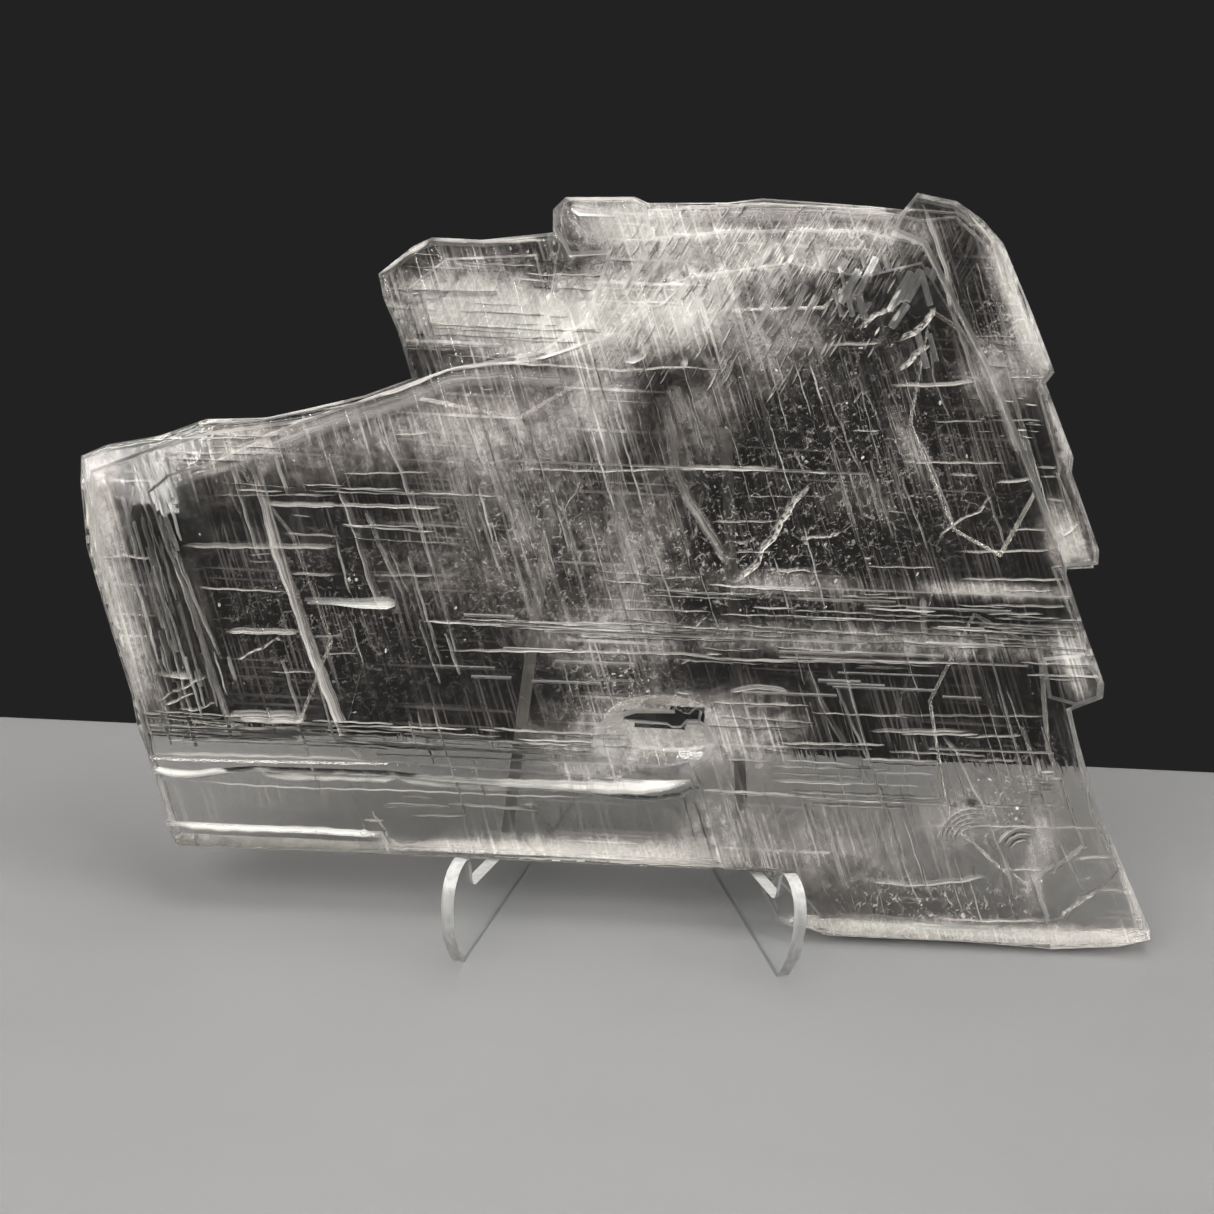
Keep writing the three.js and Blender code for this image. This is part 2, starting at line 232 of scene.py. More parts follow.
def hairlines_group():
    """Separate straight hairline splits with pointed ends that run one way across the face."""
    group, start, end = new_group(
        "hairline splits",
        [
            ("Place", "NodeSocketVector", None),
            ("Direction", "NodeSocketFloat", 0.0),
            ("Length", "NodeSocketFloat", 20.0),
            ("Width", "NodeSocketFloat", 0.5),
            ("Share", "NodeSocketFloat", 0.5),
            ("Shift", "NodeSocketFloat", 0.0),
        ],
        [("Mask", "NodeSocketFloat")],
    )
    back_turn = maths(group, "MULTIPLY", start.outputs["Direction"], -1.0)
    split = add_node(group, "ShaderNodeSeparateXYZ", Vector=turned(group, start.outputs["Place"], back_turn))
    along = maths(group, "DIVIDE", split.outputs["X"], start.outputs["Length"])
    across = maths(group, "DIVIDE", split.outputs["Y"], start.outputs["Width"])
    cell_place = add_node(
        group, "ShaderNodeCombineXYZ", X=maths(group, "ADD", along, start.outputs["Shift"]), Y=across
    )
    cells = add_node(
        group, "ShaderNodeTexVoronoi", {"voronoi_dimensions": "2D"}, Vector=cell_place.outputs[0], Scale=1.0
    )
    lot = add_node(group, "ShaderNodeSeparateColor", Color=cells.outputs["Color"])
    missing = maths(group, "SUBTRACT", 1.0, start.outputs["Share"])
    present = maths(group, "GREATER_THAN", lot.outputs["Red"], missing)
    reach = maths(group, "ADD", maths(group, "MULTIPLY", lot.outputs["Green"], 0.3), 0.22)
    body = maths(group, "SUBTRACT", reach, cells.outputs["Distance"])
    body = maths(group, "DIVIDE", body, 0.14, clamp=True)
    strength = maths(group, "ADD", maths(group, "MULTIPLY", lot.outputs["Blue"], 0.65), 0.35)
    mask = maths(group, "MULTIPLY", maths(group, "MULTIPLY", present, body), strength)
    group.links.new(mask, end.inputs["Mask"])
    return group


def haze_group():
    """Granular haze, drawn out along the steep cleavage and torn into patches at its fringes."""
    group, start, end = new_group(
        "haze",
        [
            ("Place", "NodeSocketVector", None),
            ("Veil", "NodeSocketFloat", 0.5),
            ("Shift", "NodeSocketFloat", 0.0),
        ],
        [("Haze", "NodeSocketFloat")],
    )
    veil = start.outputs["Veil"]
    shift = add_node(group, "ShaderNodeCombineXYZ", X=start.outputs["Shift"], Y=start.outputs["Shift"])
    place = vector_maths(group, "ADD", start.outputs["Place"], shift.outputs[0])[0]
    drawn = add_node(group, "ShaderNodeMapping", Vector=turned(group, place, -STEEP), Scale=(0.05, 0.42, 1.0))
    streaks = flat_noise(group, drawn.outputs[0], scale=1.0, detail=4.0, roughness=0.65)
    streaks = ramp(group, streaks, 0.38, 0.62, 0.5, 1.2)
    grain = flat_noise(group, place, scale=0.6, detail=6.0, roughness=0.78, distortion=0.9)
    grain = ramp(group, grain, 0.4, 0.62, 0.4, 1.25)
    texture = maths(group, "MULTIPLY", streaks, grain)
    # The denser the veil, the calmer its texture
    calm = ramp(group, veil, 0.2, 0.75, 0.0, 0.75)
    calmed = maths(group, "MULTIPLY", calm, maths(group, "SUBTRACT", 1.0, texture))
    texture = maths(group, "ADD", texture, calmed)
    patches = flat_noise(group, place, scale=0.1, detail=4.0, roughness=0.62, distortion=1.4)
    fringe = maths(group, "ADD", patches, maths(group, "MULTIPLY", veil, 0.6))
    torn = maths(group, "MULTIPLY", veil, ramp(group, fringe, 0.52, 0.74, 0.2, 1.0))
    group.links.new(maths(group, "MULTIPLY", torn, texture), end.inputs["Haze"])
    return group


def lace_group():
    """A broken net of fine crooked cracks with flecks in it."""
    group, start, end = new_group(
        "lace",
        [("Place", "NodeSocketVector", None), ("Size", "NodeSocketFloat", 0.2)],
        [("Mask", "NodeSocketFloat")],
    )
    place = start.outputs["Place"]
    flat = {"noise_dimensions": "2D"}
    waver = add_node(group, "ShaderNodeTexNoise", flat, Vector=place, Scale=0.35, Detail=3.0).outputs["Color"]
    crooked = vector_maths(group, "MULTIPLY_ADD", waver, (5.0, 5.0, 0.0), place)[0]
    cells = add_node(
        group,
        "ShaderNodeTexVoronoi",
        {"voronoi_dimensions": "2D", "feature": "DISTANCE_TO_EDGE"},
        Vector=crooked,
        Scale=start.outputs["Size"],
    )
    lines = ramp(group, cells.outputs["Distance"], 0.0, 0.05, 1.0, 0.0)
    broken = ramp(group, flat_noise(group, place, scale=0.4, detail=2.0), 0.45, 0.58)
    flecks = ramp(group, flat_noise(group, place, scale=1.1, detail=3.0, roughness=0.6), 0.66, 0.72)
    mask = maths(group, "MAXIMUM", maths(group, "MULTIPLY", lines, broken), flecks)
    group.links.new(mask, end.inputs["Mask"])
    return group


FACE_PLACE = face_place_group()
HAIRLINES = hairlines_group()
HAZE = haze_group()
LACE = lace_group()


def new_material(name):
    """A material, its tree, and its shader node linked to its output node."""
    material = bpy.data.materials.new(name)
    material.use_nodes = True
    tree = material.node_tree
    tree.nodes.clear()
    output = tree.nodes.new("ShaderNodeOutputMaterial")
    shader = tree.nodes.new("ShaderNodeBsdfPrincipled")
    tree.links.new(shader.outputs[0], output.inputs["Surface"])
    return material, tree, shader, output


def let_lamps_through(tree, shader, output, tint):
    """Lamps light what is inside or behind a clear solid straight through it."""
    light_path = tree.nodes.new("ShaderNodeLightPath")
    clear = tree.nodes.new("ShaderNodeBsdfTransparent")
    clear.inputs["Color"].default_value = tint
    mix = tree.nodes.new("ShaderNodeMixShader")
    tree.links.new(light_path.outputs["Is Shadow Ray"], mix.inputs[0])
    tree.links.new(shader.outputs[0], mix.inputs[1])
    tree.links.new(clear.outputs[0], mix.inputs[2])
    tree.links.new(mix.outputs[0], output.inputs["Surface"])


# Materials


def worn_edges(tree, place):
    """How dull each face is: clear on the flats, and a little mottled where it turns away from them."""
    normal = tree.nodes.new("ShaderNodeNewGeometry").outputs["True Normal"]
    facing = vector_maths(tree, "DOT_PRODUCT", normal, INTO)["Value"]
    worn = ramp(tree, maths(tree, "ABSOLUTE", facing), 0.86, 0.97, 0.6, 0.0)
    mottled = ramp(tree, flat_noise(tree, place, scale=0.5, detail=3.0, roughness=0.6), 0.4, 0.6, 0.75, 1.0)
    return maths(tree, "MULTIPLY", worn, mottled)


def crystal_body_material():
    """Clear selenite: smooth on its flats, silky along fine splits and worn dull on every edge."""
    material, tree, shader, output = new_material("selenite")
    place = use_group(tree, FACE_PLACE)
    steep = use_group(tree, HAIRLINES, Place=place, Direction=STEEP, Length=34.0, Width=1.1, Share=0.5)
    patches = flat_noise(tree, place, scale=0.07, detail=3.0)
    silk = ramp(tree, patches, 0.45, 0.7, 0.015, 0.09)
    roughness = maths(tree, "ADD", silk, maths(tree, "MULTIPLY", steep, 0.12), clamp=True)
    roughness = maths(tree, "MAXIMUM", roughness, worn_edges(tree, place))
    height = maths(tree, "ADD", maths(tree, "MULTIPLY", steep, 0.5), patches)
    bump = add_node(tree, "ShaderNodeBump", Height=height, Strength=0.3, Distance=0.2 * MM)
    tree.links.new(roughness, shader.inputs["Roughness"])
    tree.links.new(bump.outputs["Normal"], shader.inputs["Normal"])
    shader.inputs["Base Color"].default_value = (0.97, 0.97, 0.96, 1)
    shader.inputs["IOR"].default_value = CRYSTAL_IOR
    shader.inputs["Transmission Weight"].default_value = 1.0
    absorption = add_node(tree, "ShaderNodeVolumeAbsorption", Density=150.0, Color=(0.9, 0.893, 0.88, 1))
    tree.links.new(absorption.outputs[0], output.inputs["Volume"])
    let_lamps_through(tree, shader, output, (0.72, 0.72, 0.71, 1))
    return material


GREY = (0.5, 0.49, 0.47, 1)
ROSY = (0.85, 0.785, 0.765, 1)
PALE = (0.97, 0.955, 0.91, 1)
NEAR_WHITE = (0.98, 0.97, 0.94, 1)
WHITE = (0.99, 0.985, 0.96, 1)


def veil_material(name, shift, hairline_strength, lace_size):
    """Haze, hairline splits and crushed spots inside the crystal, where the attributes put them."""
    material, tree, shader, _ = new_material(name)
    place = use_group(tree, FACE_PLACE)
    veil = attribute(tree, "veil")["Fac"]
    crush = attribute(tree, "crush")["Fac"]
    hatch = attribute(tree, "hatch")["Fac"]
    haze = use_group(tree, HAZE, Place=place, Veil=veil, Shift=shift)
    shared = {"Place": place, "Shift": shift}
    steep = use_group(tree, HAIRLINES, Direction=STEEP, Length=26.0, Width=0.8, Share=0.5, **shared)
    level = use_group(tree, HAIRLINES, Direction=LEVEL, Length=42.0, Width=1.0, Share=0.16, **shared)
    crossing = use_group(tree, HAIRLINES, Direction=CROSS, Length=6.0, Width=0.36, Share=0.55, **shared)
    lace = use_group(tree, LACE, Place=place, Size=lace_size)
    reach = ramp(tree, flat_noise(tree, place, scale=0.045, detail=1.0), 0.38, 0.62, 0.25, 1.0)
    amount = maths(tree, "MULTIPLY", reach, ramp(tree, veil, 0.0, 0.3, 0.2, 1.0))
    amount = maths(tree, "MULTIPLY", amount, hairline_strength)
    lines = maths(tree, "MULTIPLY", maths(tree, "MAXIMUM", steep, level), amount)
    lines = maths(tree, "MAXIMUM", lines, maths(tree, "MULTIPLY", crossing, hatch))
    lines = maths(tree, "MAXIMUM", lines, maths(tree, "MULTIPLY", lace, crush))
    alpha = maths(tree, "ADD", haze, lines, clamp=True)
    colour = blend_colours(tree, ramp(tree, alpha, 0.1, 0.6), ROSY, PALE)
    tree.links.new(alpha, shader.inputs["Alpha"])
    tree.links.new(colour, shader.inputs["Base Color"])
    shader.inputs["Roughness"].default_value = 0.5
    return material


def thin_split_material():
    """The white edge of a thin split, as bright as the veil attribute says."""
    material, tree, shader, _ = new_material("hairline split")
    veil = attribute(tree, "veil")["Fac"]
    tree.links.new(blend_colours(tree, veil, GREY, NEAR_WHITE), shader.inputs["Base Color"])
    shader.inputs["Roughness"].default_value = 0.4
    return material


def split_material(name, streak_length, streak_width, thin, thick, dull=ROSY, bright=PALE):
    """The white, broken face of a split, streaked along its own length."""
    material, tree, shader, _ = new_material(name)
    veil = attribute(tree, "veil")["Fac"]
    trace = attribute(tree, "trace")["Vector"]
    stretched = vector_maths(tree, "DIVIDE", trace, (streak_length, streak_width, 1.0))[0]
    streaks = add_node(tree, "ShaderNodeTexNoise", Vector=stretched, Scale=1.0, Detail=2.0).outputs["Fac"]
    alpha = maths(tree, "MULTIPLY", veil, ramp(tree, streaks, 0.36, 0.6, thin, thick), clamp=True)
    colour = blend_colours(tree, ramp(tree, streaks, 0.4, 0.65), dull, bright)
    tree.links.new(alpha, shader.inputs["Alpha"])
    tree.links.new(colour, shader.inputs["Base Color"])
    shader.inputs["Roughness"].default_value = 0.35
    return material


def flake_material():
    """Small bright flakes where the crystal is crushed inside."""
    material, tree, shader, _ = new_material("crushed flakes")
    grain = flat_noise(tree, use_group(tree, FACE_PLACE), scale=1.3, detail=1.0)
    colour = blend_colours(tree, grain, (0.5, 0.48, 0.46, 1), (0.98, 0.98, 0.97, 1))
    tree.links.new(colour, shader.inputs["Base Color"])
    shader.inputs["Roughness"].default_value = 0.22
    return material


def sheet_marks(tree, scale):
    """Fine marks on the easel, drawn out by a scale of its own along each axis."""
    place = tree.nodes.new("ShaderNodeTexCoord").outputs["Object"]
    drawn = add_node(tree, "ShaderNodeMapping", Vector=place, Scale=scale)
    return add_node(tree, "ShaderNodeTexNoise", Vector=drawn.outputs[0], Scale=1.0, Detail=3.0).outputs["Fac"]


def clear_sheet_material():
    """The polished faces of the bent sheet, with a few faint wipe marks."""
    material, tree, shader, output = new_material("clear_sheet")
    wipe_marks = sheet_marks(tree, (40, 40, 160))
    tree.links.new(ramp(tree, wipe_marks, 0.5, 0.75, 0.008, 0.05), shader.inputs["Roughness"])
    shader.inputs["Base Color"].default_value = (0.98, 0.99, 0.99, 1)
    shader.inputs["IOR"].default_value = SHEET_IOR
    shader.inputs["Transmission Weight"].default_value = 1.0
    let_lamps_through(tree, shader, output, (0.9, 0.91, 0.91, 1))
    return material


def cut_edge_material(name, transmission):
    """The sheet's satin cut edges, paler than its faces, with saw marks up and down them."""
    material, tree, shader, output = new_material(name)
    saw_marks = sheet_marks(tree, (900, 900, 90))
    ends = (0.56, 0.555, 0.54, 1), (0.78, 0.775, 0.755, 1)
    colour = blend_colours(tree, ramp(tree, saw_marks, 0.35, 0.65), *ends)
    tree.links.new(colour, shader.inputs["Base Color"])
    tree.links.new(ramp(tree, saw_marks, 0.3, 0.7, 0.3, 0.5), shader.inputs["Roughness"])
    bump = add_node(tree, "ShaderNodeBump", Height=saw_marks, Strength=0.35, Distance=0.2 * MM)
    tree.links.new(bump.outputs["Normal"], shader.inputs["Normal"])
    shader.inputs["IOR"].default_value = SHEET_IOR
    shader.inputs["Transmission Weight"].default_value = transmission
    let_lamps_through(tree, shader, output, (0.8, 0.8, 0.79, 1))
    return material


BEND_STARTS = 45 * MM
CLEARER_ABOVE = 30 * MM


def is_cut_edge(face):
    """True on the sheet's cut edges, false on its flats and round the bend."""
    if abs(face.normal.z) > 0.3:
        return True
    if face.center.y > BEND_STARTS:
        return False
    across_wings = [Vector((side * math.cos(WING_TURN), math.sin(WING_TURN), 0)) for side in (-1, 1)]
    return max(abs(face.normal.dot(across)) for across in across_wings) < 0.95


def dress_easel():
    """Flats and bend clear, hooks and feet satin, and the back rest's edges clearer behind the crystal."""
    easel.data.materials.clear()
    easel.data.materials.append(clear_sheet_material())
    easel.data.materials.append(cut_edge_material("cut edge", transmission=0.45))
    easel.data.materials.append(cut_edge_material("clearer cut edge", transmission=0.92))
    for face in easel.data.polygons:
        face.material_index = 0
        if is_cut_edge(face):
            face.material_index = 2 if face.center.z > CLEARER_ABOVE else 1


def floor_material():
    material, tree, shader, _ = new_material("pale floor")
    grain = add_node(tree, "ShaderNodeTexNoise", Scale=40.0, Detail=4.0)
    colour = blend_colours(tree, grain.outputs["Fac"], (0.205, 0.205, 0.207, 1), (0.225, 0.225, 0.226, 1))
    tree.links.new(colour, shader.inputs["Base Color"])
    shader.inputs["Roughness"].default_value = 0.5
    return material


# What lies inside the crystal, in millimetres on its face

# Steep splits: the points they pass, how wide they look and how white they are
STEEP_SPLITS = [
    (
        [(-93.5, 95), (-89.5, 85), (-86, 72.5), (-81, 61),
         (-77, 50.5), (-73, 41.5), (-67.5, 29), (-62, 21.5)],
        2.4, 0.95,
    ),
    ([(-117.5, 84.5), (-111, 69.5), (-106.5, 58), (-100, 40), (-95, 29.5)], 0.9, 1.0),
    ([(-115.5, 83.5), (-109, 68), (-103, 55.5), (-98, 46)], 0.5, 0.6),
    ([(-100, 92.5), (-97.5, 86), (-95, 80.5)], 0.4, 0.7),
    ([(-72.5, 90.5), (-69.5, 84.5), (-66, 75.5), (-63, 66.5), (-59.5, 59)], 1.6, 0.7),
    ([(-65.5, 85), (-59.5, 72.5), (-54.5, 63.5)], 1.5, 0.55),
    ([(-59, 75), (-53.5, 63.5)], 0.4, 0.7),
    ([(-63.5, 104.5), (-57.5, 95), (-55.5, 89.5), (-50.5, 76.5), (-48, 69)], 0.8, 0.75),
    ([(-29, 103.5), (-26, 97)], 0.7, 0.7),
    ([(37, 104.5), (41.5, 95)], 1.0, 0.7),
    ([(31.5, 105.5), (35, 98.5)], 0.6, 0.55),
    ([(46, 107), (50, 97)], 0.8, 0.6),
    ([(47.5, 52.5), (52.5, 42), (56.5, 34), (60.5, 26), (64.5, 16.5), (70, 1), (75, -8.5)], 1.0, 0.85),
    ([(33, 67), (36, 59.5)], 0.5, 0.55),
    ([(32, 62.5), (36, 56.5)], 0.5, 0.55),
    ([(67, 108.5), (70.5, 102), (76.5, 88), (78.5, 82.5)], 1.0, 0.8),
    ([(63, 100), (65.5, 93.5), (70, 83), (71, 79.5)], 1.0, 0.75),
    ([(79, 109), (82.5, 99.5), (85.5, 93), (90, 81)], 1.2, 0.75),
    ([(90.5, 112.5), (95.5, 99), (101.5, 86), (103, 83.5)], 1.4, 0.85),
    ([(48, 112), (51.5, 102.5), (55, 98)], 0.9, 0.6),
    ([(56.5, 112.5), (59, 108)], 0.8, 0.5),
    ([(89, 88.5), (93, 82)], 0.6, 0.6),
    ([(57, 86.5), (59.5, 79.5), (62.5, 73)], 0.5, 0.55),
    ([(61.5, 88.5), (64.5, 78), (67, 72.5)], 0.7, 0.55),
    ([(65, 165), (69, 156), (72.5, 147), (74.5, 137.5), (77.5, 130.5), (81, 121), (84, 113)], 2.0, 0.95),
    ([(71, 160.5), (79, 146.5), (84, 138)], 0.5, 0.7),
    ([(61, 142), (64, 137)], 0.7, 0.5),
    ([(69, 130), (70.5, 121.5), (75, 112)], 1.0, 0.7),
    ([(56.5, 128), (59.5, 120), (64, 110)], 0.8, 0.65),
    ([(51.5, 122.5), (58.5, 110)], 0.9, 0.55),
    ([(43, 121.5), (50.5, 105.5)], 0.9, 0.55),
    ([(74.5, 38), (80, 32.5), (84, 24.5), (87, 20), (93.5, 5), (96, -4)], 1.3, 0.7),
    ([(88.5, 48.5), (93, 38)], 0.7, 0.7),
    ([(91, 49), (95.5, 37.5), (99, 32)], 0.8, 0.75),
    ([(99.5, 5), (105, -10)], 1.8, 0.65),
    ([(105, 13), (111.5, 1)], 0.8, 0.6),
    ([(50.5, 17), (51, 13.5), (51.5, 9.5)], 0.5, 0.7),
    ([(-103, 49.5), (-97.5, 36), (-95, 29.5)], 0.9, 0.6),
    ([(-126.5, 70), (-118, 51.5)], 0.8, 0.4),
]

# Broad soft veils, as above
BROAD_VEILS = [
    ([(-8, 109.5), (-5.5, 94.5), (-3, 82), (1, 70), (0, 55)], 5.0, 0.75),
    ([(-14.5, 117), (-9.5, 108), (-5, 97.5)], 6.0, 0.6),
    ([(6, 115), (9, 98), (12, 91), (18, 82.5), (24.5, 73)], 3.2, 0.5),
    ([(7, 118), (12, 108)], 5.0, 0.5),
    ([(-45.5, 95.5), (-41.5, 86), (-37, 73)], 4.0, 0.5),
    ([(-39.5, 112.5), (-33, 94.5), (-23.5, 74)], 6.0, 0.6),
    ([(17, 18.5), (20.5, 10.5), (24.5, 2)], 3.5, 0.5),
    ([(24.5, 18), (29.5, 11.5), (32, 6)], 2.5, 0.45),
    ([(29.5, 18), (35, 7)], 2.5, 0.5),
    ([(43, 19), (51, 2.5)], 1.6, 0.55),
    ([(42.5, 51), (48.5, 40), (55, 30)], 2.2, 0.5),
    ([(83.5, 131.5), (86, 119.5), (91.5, 104.5)], 4.0, 0.7),
    ([(100, 14), (100.5, 5)], 4.0, 0.65),
    ([(99, 32.5), (102.5, 23)], 2.4, 0.75),
    ([(70, 70), (71.5, 58)], 3.0, 0.6),
]

# Splits that run level, as above
LEVEL_SPLITS = [
    ([(-33, 95), (-22.5, 96), (-9, 96), (9, 97.5)], 0.7, 0.7),
    ([(9, 97.5), (15.5, 98), (34, 98.5)], 1.4, 0.85),
    ([(34, 98.5), (46.5, 98)], 0.7, 0.7),
    ([(4, 71), (16.5, 71.5)], 0.6, 0.5),
    ([(4, 68), (16.5, 68.5)], 0.6, 0.6),
    ([(18, 85), (34.5, 86)], 0.6, 0.7),
    ([(23.5, 78), (34, 78.5)], 0.5, 0.85),
    ([(25, 91.5), (46.5, 92.5)], 0.4, 0.5),
    ([(-10, 59), (15, 58.5)], 0.5, 0.75),
    ([(-48, 51), (-9.5, 52.5), (15, 53), (23.5, 52), (55.5, 53), (86, 54)], 0.7, 0.95),
    ([(18, 53), (22.5, 53.5)], 0.6, 1.0),
    ([(63, 101.5), (89, 102.5)], 0.7, 0.8),
    ([(86, 97.5), (95.5, 99)], 0.9, 0.8),
    ([(78, 80.5), (101, 82)], 0.7, 0.85),
    ([(90.5, 86.5), (100, 87)], 0.6, 0.6),
    ([(95, 101.5), (101.5, 102)], 0.7, 0.7),
    ([(96, 99.5), (101.5, 99.5)], 0.6, 0.6),
    ([(97.5, 94), (103.5, 94)], 0.7, 0.6),
    ([(59.5, 89.5), (66.5, 89.5)], 0.5, 0.5),
    ([(56, 76), (73, 76.5)], 0.5, 0.65),
    ([(83.5, 112.5), (97, 113)], 0.6, 0.7),
    ([(70, 111.5), (84, 112.5)], 0.5, 0.6),
    ([(78, 74), (105, 75)], 0.6, 0.8),
    ([(49.5, 68.5), (69, 69)], 0.6, 0.7),
    ([(55, 66.5), (68.5, 67)], 0.5, 0.6),
    ([(48, 63), (82, 64)], 0.6, 0.75),
    ([(84.5, 68), (105.5, 68.5)], 0.6, 0.7),
    ([(84.5, 66), (99.5, 66.5)], 0.6, 0.6),
    ([(83, 63), (109, 63.5)], 1.2, 0.7),
    ([(43, 129), (57.5, 130)], 1.0, 0.6),
    ([(59.5, 120), (71.5, 120.5), (81, 122)], 1.2, 0.7),
    ([(50.5, 108.5), (58.5, 109)], 0.6, 0.6),
    ([(78.5, 132.5), (90.5, 133)], 0.7, 0.6),
    ([(87, 123), (97.5, 123.5)], 0.7, 0.85),
    ([(-74, 85), (-46, 85.5)], 1.0, 0.9),
    ([(-72, 92.5), (-49, 94)], 0.6, 0.65),
    ([(-72.5, 89), (-56.5, 89.5)], 0.5, 0.75),
    ([(-102.5, 86), (-71.5, 87.5)], 0.5, 0.55),
    ([(-89.5, 84.5), (-71.5, 85)], 1.4, 0.75),
    ([(-84, 82), (-77.5, 82)], 0.4, 0.6),
    ([(-85.5, 77.5), (-71, 77.5)], 0.6, 0.6),
    ([(-109.5, 73.5), (-71, 75)], 1.4, 0.4),
    ([(-93.5, 72), (-86.5, 72.5)], 0.4, 0.6),
    ([(-93.5, 70.5), (-86.5, 70.5)], 0.4, 0.6),
    ([(-83, 68), (-71.5, 68)], 0.7, 0.8),
    ([(-105.5, 63.5), (-82.5, 63.5)], 0.5, 0.8),
    ([(-97.5, 53.5), (-79.5, 54)], 1.5, 0.7),
    ([(-77, 53), (-70, 53.5)], 0.5, 0.5),
    ([(-87, 44), (-75.5, 44.5)], 0.4, 0.65),
    ([(-74, 49), (-65, 49.5)], 0.4, 0.5),
    ([(-62, 68.5), (-47.5, 69)], 0.5, 0.8),
    ([(-60, 102.5), (-50, 103.5)], 0.8, 0.6),
    ([(-39, 114.5), (-35, 114.5)], 0.5, 0.8),
    ([(-131, 69.5), (-124, 70.5), (-116, 70)], 0.7, 0.7),
    ([(-130.5, 88.5), (-115, 89)], 0.7, 0.7),
    ([(-115.5, 96), (-99, 96.5)], 0.6, 0.85),
    ([(-114, 93.5), (-103, 94)], 0.6, 0.8),
    ([(-96.5, 33), (-77, 33.5)], 3.0, 0.7),
    ([(-113, 26.5), (-71, 28)], 0.8, 0.7),
    ([(-114.5, 23), (-71, 24), (-61.5, 23.5)], 0.9, 0.75),
    ([(16.5, 20), (27, 20), (42.5, 20), (57, 19.5), (74.5, 20)], 0.7, 0.85),
    ([(35.5, 23.5), (50, 23.5), (60.5, 24)], 0.8, 0.65),
    ([(24, 44.5), (32, 46), (39, 45)], 1.2, 0.7),
    ([(27, 41), (40, 42)], 0.9, 0.65),
    ([(22.5, 38), (39.5, 38.5)], 0.7, 0.55),
    ([(11, 43.5), (15.5, 43.5)], 0.6, 1.0),
    ([(53.5, 40), (77.5, 41), (103, 42)], 0.5, 0.4),
    ([(58.5, 36.5), (82.5, 37.5)], 0.9, 0.6),
    ([(80.5, 36), (96, 37)], 0.6, 0.55),
    ([(81, 30.5), (95, 31)], 0.6, 0.5),
    ([(59, 26.5), (75.5, 27)], 0.7, 0.55),
    ([(69, 14), (91, 15), (116, 15.5)], 0.5, 0.7),
    ([(93.5, 4.5), (102.5, 5)], 0.6, 0.7),
    ([(109, 8), (119, 9)], 0.7, 0.5),
    ([(59.5, 0.5), (71, 0), (82, 1.5), (88.5, 3)], 1.2, 0.5),
    ([(75, -8), (89, -8), (107, -7)], 0.6, 0.85),
    ([(115.5, 0.5), (122.5, 0.5)], 0.5, 0.8),
    ([(-58.5, 12.5), (-53.5, 12.5)], 0.5, 0.8),
    ([(-59, 13), (-41.5, 13)], 0.5, 0.4),
    ([(-47.5, 145.5), (-37, 145)], 1.2, 0.95),
    ([(-60, 137.5), (-54, 138)], 1.0, 1.0),
    ([(-55.5, 144), (-50, 144.5)], 1.2, 0.9),
    ([(57.5, 162.5), (64.5, 162)], 0.7, 0.9),
]

# White wedges, widest near their first point, as above
WEDGES = [
    ([(-57, 62), (-66, 61.5), (-79, 62)], 3.4, 0.8),
    ([(2, 58.5), (-22, 58.5), (-48.5, 58)], 2.0, 1.0),
    ([(-105.5, 42), (-116, 42.5)], 2.2, 0.7),
    ([(-4.5, 123), (-1, 123.5), (1, 125.5)], 3.0, 1.0),
    ([(9.5, 122), (10.5, 124.5)], 2.4, 1.0),
    ([(-26, 122.5), (-16, 126), (-10.5, 129), (-6, 129.5)], 1.8, 1.0),
    ([(-30, 127), (-25, 128.5)], 0.8, 1.0),
    ([(2.5, 136.5), (9.5, 143)], 2.6, 0.9),
    ([(10, 147.5), (14, 142)], 2.4, 1.0),
    ([(-19, 160), (-7, 158.5)], 5.0, 1.0),
    ([(102.5, 85.5), (106.5, 89)], 1.6, 1.0),
    ([(12.5, 50.5), (15, 52)], 0.8, 1.0),
    ([(-8, 34), (-2, 35)], 0.8, 1.0),
]

